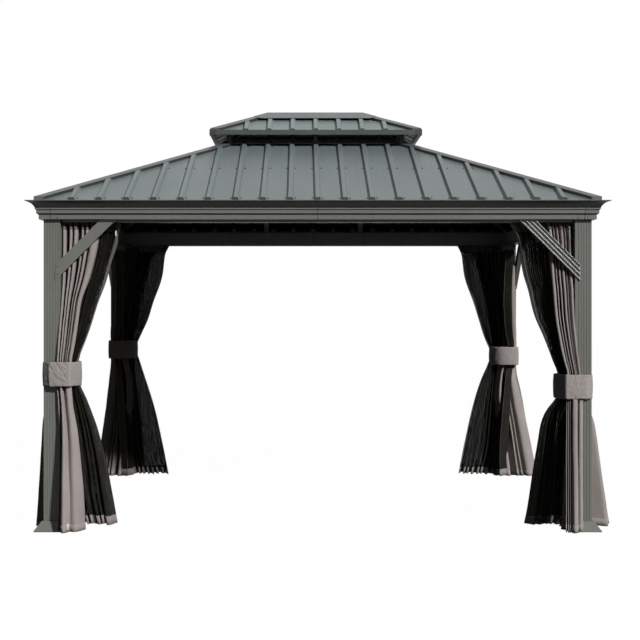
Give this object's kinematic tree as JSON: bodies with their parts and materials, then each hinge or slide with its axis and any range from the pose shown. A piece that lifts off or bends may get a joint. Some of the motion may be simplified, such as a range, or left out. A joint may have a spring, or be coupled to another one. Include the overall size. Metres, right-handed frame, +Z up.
{
  "type": "metal gazebo",
  "caption": "Hard-top metal garden gazebo with a vented two-tier hip roof, moulded beams, fluted posts, and curtains and netting tied back at its corners.",
  "frame": {"origin": "centre of the footprint, on the ground", "axes": "+X along the long side to the right as seen from the front, +Y towards the back, +Z up"},
  "size_m": [3.66, 2.95, 2.8744],
  "materials": {
    "frame_metal": "satin powder coat, warm grey",
    "roof_steel": "satin blue-grey coated steel sheet",
    "rail_metal": "matt black",
    "hidden_steel": "dark primer",
    "curtain_cloth": "warm grey woven polyester",
    "net_cloth": "fine black-brown mesh",
    "band_cloth": "warm grey woven polyester"
  },
  "bodies": {
    "root": {"base_plates": "hidden_steel", "beam_back": "frame_metal", "beam_front": "frame_metal", "beam_left": "frame_metal", "beam_right": "frame_metal", "braces_back": "frame_metal", "braces_front": "frame_metal", "braces_left": "frame_metal", "braces_right": "frame_metal", "cornice_corner_back_left": "frame_metal", "cornice_corner_back_right": "frame_metal", "cornice_corner_front_left": "frame_metal", "cornice_corner_front_right": "frame_metal", "curtain_rails": "rail_metal", "curtains_back_left": "curtain_cloth", "curtains_back_right": "curtain_cloth", "curtains_front_left": "curtain_cloth", "curtains_front_right": "curtain_cloth", "foot_cover_back_left": "frame_metal", "foot_cover_back_right": "frame_metal", "foot_cover_front_left": "frame_metal", "foot_cover_front_right": "frame_metal", "hip_rafters": "frame_metal", "lower_hip_caps": "roof_steel", "lower_roof_back": "roof_steel", "lower_roof_front": "roof_steel", "lower_roof_left": "roof_steel", "lower_roof_right": "roof_steel", "netting_rails": "rail_metal", "nettings_back_left": "net_cloth", "nettings_back_right": "net_cloth", "nettings_front_left": "net_cloth", "nettings_front_right": "net_cloth", "post_back_left": "frame_metal", "post_back_right": "frame_metal", "post_front_left": "frame_metal", "post_front_right": "frame_metal", "purlins": "frame_metal", "rafters": "frame_metal", "ridge_cap": "roof_steel", "tie_band_back_left": "band_cloth", "tie_band_back_right": "band_cloth", "tie_band_front_left": "band_cloth", "tie_band_front_right": "band_cloth", "upper_fascia": "frame_metal", "upper_frame": "frame_metal", "upper_hip_caps": "roof_steel", "upper_roof_back": "roof_steel", "upper_roof_front": "roof_steel", "upper_roof_left": "roof_steel", "upper_roof_right": "roof_steel", "vent_frame": "frame_metal"}
  },
  "joints": []
}
